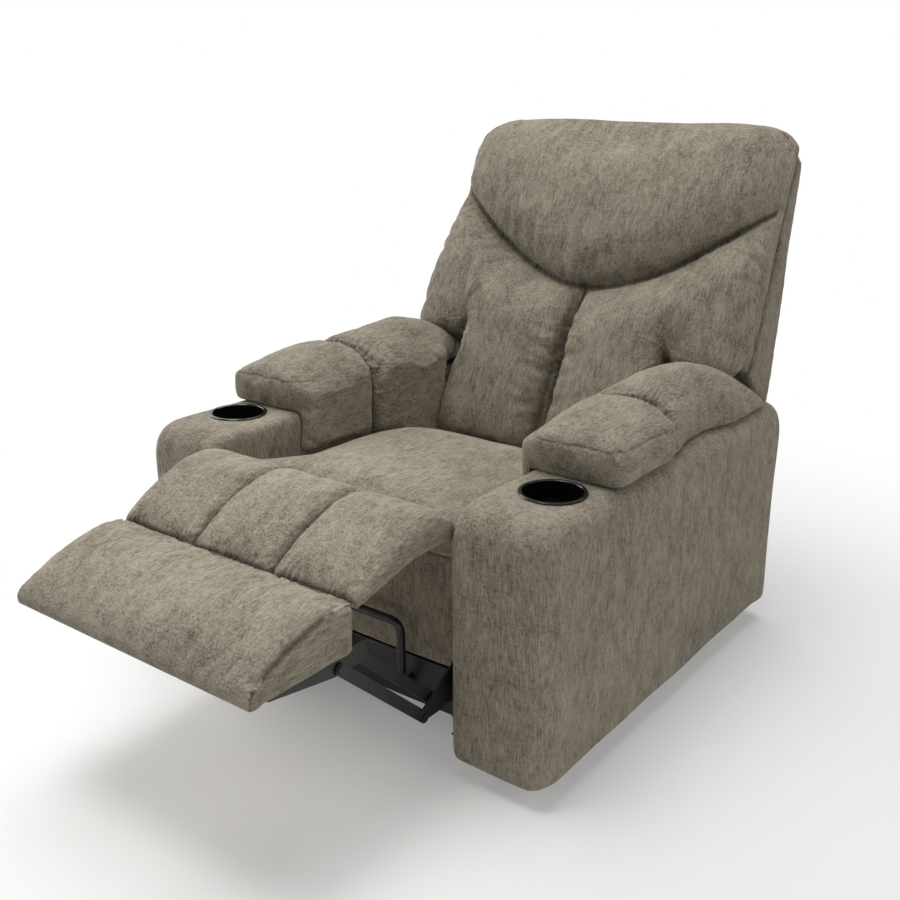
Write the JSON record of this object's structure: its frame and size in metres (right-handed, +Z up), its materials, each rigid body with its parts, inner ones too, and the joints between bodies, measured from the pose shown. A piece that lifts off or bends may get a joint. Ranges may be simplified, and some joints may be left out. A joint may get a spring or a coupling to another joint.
{
  "type": "power recliner",
  "caption": "Power recliner with an extended footrest on steel links, a reclining back, padded arms and cup holders.",
  "frame": {"origin": "on the floor below the middle of the chair's overall box, with the footrest extended", "axes": "+Z up, -Y towards the footrest, +X to the sitter's left"},
  "size_m": [0.9365, 1.5219, 1.045],
  "materials": {
    "chenille": "woven pile",
    "black_steel": "satin black",
    "zinc_steel": "zinc plated",
    "black_plastic": "moulded",
    "gloss_plastic": "gloss",
    "plywood": "raw plywood"
  },
  "bodies": {
    "chair_base": {"base_rail_left": "black_steel", "base_rail_right": "black_steel", "base_front_rail": "black_steel", "base_rear_rail": "black_steel", "glide_front_left": "black_plastic", "glide_front_right": "black_plastic", "glide_rear_left": "black_plastic", "glide_rear_right": "black_plastic", "stop_hoop": "black_steel", "power_inlet": "black_plastic", "side_plate_left": "black_steel", "side_plate_right": "black_steel", "seat_front_rail": "plywood", "seat_rear_rail": "plywood", "seat_spring_1": "zinc_steel", "seat_spring_2": "zinc_steel", "seat_spring_3": "zinc_steel", "seat_spring_4": "zinc_steel", "seat_cushion": "chenille", "front_fascia": "chenille", "actuator_cross_tube": "black_steel", "arm_left": "chenille", "arm_right": "chenille", "cup_holder_left": "gloss_plastic", "cup_holder_right": "gloss_plastic", "arm_pad_front_left": "chenille", "arm_pad_front_right": "chenille", "arm_pad_rear_left": "chenille", "arm_pad_rear_right": "chenille", "switch_bezel": "black_plastic"},
    "drive_links": {"drive_tube": "black_steel", "drive_link_left": "black_steel", "drive_link_right": "black_steel"},
    "guide_links": {"guide_link_left": "black_steel", "guide_link_right": "black_steel"},
    "leg_links": {"knee_link_left": "black_steel", "knee_link_right": "black_steel"},
    "outer_links": {"outer_link_left": "black_steel", "outer_link_right": "black_steel"},
    "footrest": {"footrest_board": "plywood", "footrest_bracket_left": "black_steel", "footrest_bracket_right": "black_steel", "leg_pad": "chenille", "foot_end_pad": "chenille"},
    "pad_flap": {"leg_pad_flap": "chenille"},
    "actuator": {"actuator_gearbox": "black_plastic", "actuator_motor": "black_plastic", "actuator_rail": "zinc_steel", "actuator_screw": "zinc_steel"},
    "slider": {"actuator_slider": "black_plastic"},
    "back": {"back_panel": "plywood", "back_shell": "chenille", "head_pillow": "chenille", "lumbar_pad_left": "chenille", "lumbar_pad_right": "chenille", "back_bracket_left": "black_steel", "back_bracket_right": "black_steel"},
    "open_button": {"button_open": "black_plastic"},
    "close_button": {"button_close": "black_plastic"}
  },
  "joints": [
    {"name": "footrest_fold", "type": "hinge", "parent": "chair_base", "child": "drive_links", "pos_m": [0, -0.2122, 0.2552], "axis": [1, 0, 0], "range_deg": [0, 86]},
    {"name": "guide_link_pivot", "type": "hinge", "parent": "chair_base", "child": "guide_links", "pos_m": [0, -0.1674, 0.2506], "axis": [1, 0, 0], "range_deg": [0, 86]},
    {"name": "knee_pivot", "type": "hinge", "parent": "drive_links", "child": "leg_links", "pos_m": [0, -0.3397, 0.1439], "axis": [1, 0, 0], "range_deg": [-86, 0]},
    {"name": "outer_link_pivot", "type": "hinge", "parent": "drive_links", "child": "outer_links", "pos_m": [0, -0.3897, 0.1439], "axis": [1, 0, 0], "range_deg": [-86, 0]},
    {"name": "footrest_pivot", "type": "hinge", "parent": "leg_links", "child": "footrest", "pos_m": [0, -0.534, 0.322], "axis": [1, 0, 0], "range_deg": [0, 86]},
    {"name": "leg_pad_fold", "type": "hinge", "parent": "footrest", "child": "pad_flap", "pos_m": [0, -0.4065, 0.4333], "axis": [1, 0, 0], "range_deg": [-86, 0]},
    {"name": "actuator_tilt", "type": "hinge", "parent": "chair_base", "child": "actuator", "pos_m": [0, 0.241, 0.1792], "axis": [1, 0, 0], "range_deg": [-4.6, 0]},
    {"name": "slider_travel", "type": "slide", "parent": "actuator", "child": "slider", "axis": [0, 1, 0], "range_m": [0, 0.0315]},
    {"name": "back_recline", "type": "hinge", "parent": "chair_base", "child": "back", "pos_m": [0, 0.366, 0.345], "axis": [-1, 0, 0], "range_deg": [-10, 22]},
    {"name": "button_open_press", "type": "slide", "parent": "chair_base", "child": "open_button", "axis": [1, 0, 0], "range_m": [0, 0.0015], "stiffness_N_per_m": 800, "springref_m": -0.001},
    {"name": "button_close_press", "type": "slide", "parent": "chair_base", "child": "close_button", "axis": [1, 0, 0], "range_m": [0, 0.0015], "stiffness_N_per_m": 800, "springref_m": -0.001}
  ],
  "couplings": [
    {"joint": "guide_link_pivot", "follows": "footrest_fold", "ratio": 1},
    {"joint": "knee_pivot", "follows": "footrest_fold", "ratio": -1},
    {"joint": "outer_link_pivot", "follows": "footrest_fold", "ratio": -1},
    {"joint": "footrest_pivot", "follows": "footrest_fold", "ratio": 1},
    {"joint": "leg_pad_fold", "follows": "footrest_fold", "ratio": -1},
    {"joint": "actuator_tilt", "follows": "footrest_fold", "ratio": -0.05315},
    {"joint": "slider_travel", "follows": "footrest_fold", "m_per_rad": 0.02091}
  ]
}
